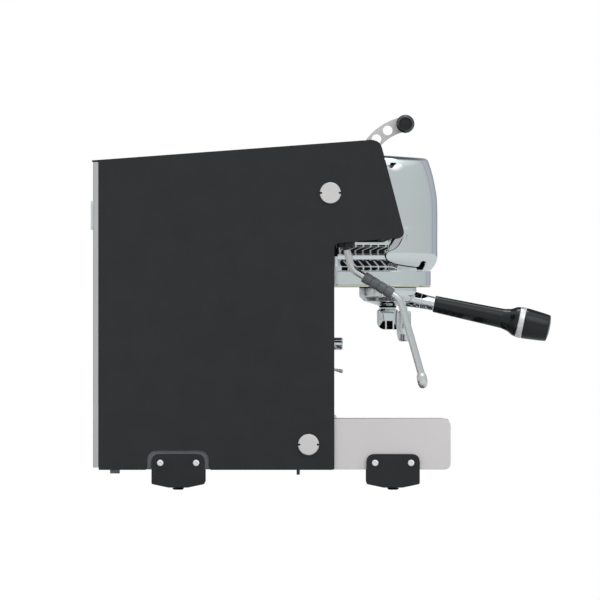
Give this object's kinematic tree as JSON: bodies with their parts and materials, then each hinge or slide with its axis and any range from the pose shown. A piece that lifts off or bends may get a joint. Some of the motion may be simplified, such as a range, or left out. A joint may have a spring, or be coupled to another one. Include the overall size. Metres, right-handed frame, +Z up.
{
  "type": "espresso machine",
  "caption": "Single-group espresso machine: matt black box with a chrome group, locked-in portafilter, steam wand and lever, hot-water outlet and drip tray.",
  "frame": {"origin": "on the ground, below the centre of the machine's bounding box", "axes": "+Z up, front (brew group and drip tray) towards -Y, +X to the user's right"},
  "size_m": [0.3056, 0.5092, 0.4128],
  "materials": {
    "black_sheet": "fine matt powder coat",
    "grey_sheet": "light grey satin paint",
    "rear_sheet": "mid grey satin paint",
    "knob_metal": "turned, satin",
    "chrome": "polished chrome plate",
    "steel": "finely brushed stainless",
    "lever_plate": "bead-blasted plate",
    "black_plastic": "moulded, satin gloss",
    "foot_black": "moulded, matt",
    "black_rubber": "matt rubber",
    "grey_rubber": "dark grey silicone",
    "clear_tank": "translucent moulded tank",
    "copper": "bare copper, dull",
    "brass": "machined brass"
  },
  "bodies": {
    "casing": {"left_side_panel": "black_sheet", "right_side_panel": "black_sheet", "top_cover": "black_sheet", "front_fascia": "black_sheet", "base_frame": "grey_sheet", "rear_plate": "grey_sheet", "control_box": "grey_sheet", "rear_cover": "rear_sheet", "left_upper_coin_knob": "knob_metal", "left_lower_coin_knob": "knob_metal", "right_upper_coin_knob": "knob_metal", "right_lower_coin_knob": "knob_metal", "front_left_screw_a": "knob_metal", "front_left_screw_b": "knob_metal", "front_right_screw_a": "knob_metal", "front_right_screw_b": "knob_metal", "rear_left_screw_a": "knob_metal", "rear_left_screw_b": "knob_metal", "rear_right_screw_a": "knob_metal", "rear_right_screw_b": "knob_metal", "front_left_foot": "foot_black", "front_right_foot": "foot_black", "rear_left_foot": "foot_black", "rear_right_foot": "foot_black", "group_gasket": "black_rubber", "front_left_foot_pad": "black_rubber", "front_right_foot_pad": "black_rubber", "rear_left_foot_pad": "black_rubber", "rear_right_foot_pad": "black_rubber", "drain_fitting": "grey_rubber", "group_hood": "chrome", "group_body": "chrome", "front_wall": "steel", "vent_pin": "steel", "shower_screen": "steel", "pump": "black_plastic", "water_tank": "clear_tank", "boiler": "copper", "steam_valve": "brass"},
    "tank_lid": {"tank_lid": "black_sheet"},
    "drip_tray": {"drip_tray": "black_sheet"},
    "drip_grille": {"drip_grille": "chrome"},
    "portafilter": {"portafilter_body": "chrome", "filter_basket": "steel", "twin_spout": "chrome", "handle_stem": "chrome", "handle_grip": "black_plastic", "handle_ring": "steel", "handle_cap": "black_plastic"},
    "steam_lever": {"steam_lever_arm": "lever_plate", "steam_lever_handle": "black_plastic"},
    "steam_swivel": {"steam_collar": "black_plastic"},
    "steam_wand": {"steam_ball": "chrome", "steam_tube": "steel", "wand_grip": "grey_rubber", "wand_tip": "steel"},
    "hot_water_outlet": {"hot_water_tube": "steel", "hot_water_nozzle": "steel"},
    "brew_button": {"brew_button": "steel"},
    "hot_water_toggle": {"hot_water_toggle": "steel"}
  },
  "joints": [
    {"name": "steam_lever_turn", "type": "hinge", "parent": "casing", "child": "steam_lever", "pos_m": [-0.1, -0.0434, 0.3444], "axis": [1, 0, 0], "range_deg": [0, 30]},
    {"name": "steam_wand_swivel", "type": "hinge", "parent": "casing", "child": "steam_swivel", "pos_m": [-0.1, -0.0264, 0.2715], "axis": [0, 0, 1], "range_deg": [-60, 20]},
    {"name": "steam_wand_tilt", "type": "hinge", "parent": "steam_swivel", "child": "steam_wand", "pos_m": [-0.1, -0.0264, 0.2715], "axis": [1, 0, 0], "range_deg": [-15, 8]},
    {"name": "hot_water_swivel", "type": "hinge", "parent": "casing", "child": "hot_water_outlet", "pos_m": [0.1, -0.024, 0.2715], "axis": [0, 0, 1], "range_deg": [-20, 60]},
    {"name": "portafilter_turn", "type": "hinge", "parent": "casing", "child": "portafilter", "pos_m": [0, -0.0732, 0.2155], "axis": [0, 0, 1], "range_deg": [-50, 0]},
    {"name": "drip_tray_slide", "type": "slide", "parent": "casing", "child": "drip_tray", "axis": [0, -1, 0], "range_m": [0, 0.12]},
    {"name": "drip_grille_lift", "type": "slide", "parent": "drip_tray", "child": "drip_grille", "axis": [0, 0, 1], "range_m": [0, 0.03]},
    {"name": "tank_lid_hinge", "type": "hinge", "parent": "casing", "child": "tank_lid", "pos_m": [0, 0.2349, 0.3642], "axis": [-1, 0, 0], "range_deg": [0, 75]},
    {"name": "brew_button_press", "type": "slide", "parent": "casing", "child": "brew_button", "axis": [0, 1, 0], "range_m": [0, 0.003], "stiffness_N_per_m": 300},
    {"name": "hot_water_toggle_tip", "type": "hinge", "parent": "casing", "child": "hot_water_toggle", "pos_m": [0.1, -0.0142, 0.1318], "axis": [1, 0, 0], "range_deg": [-28, 0]}
  ]
}
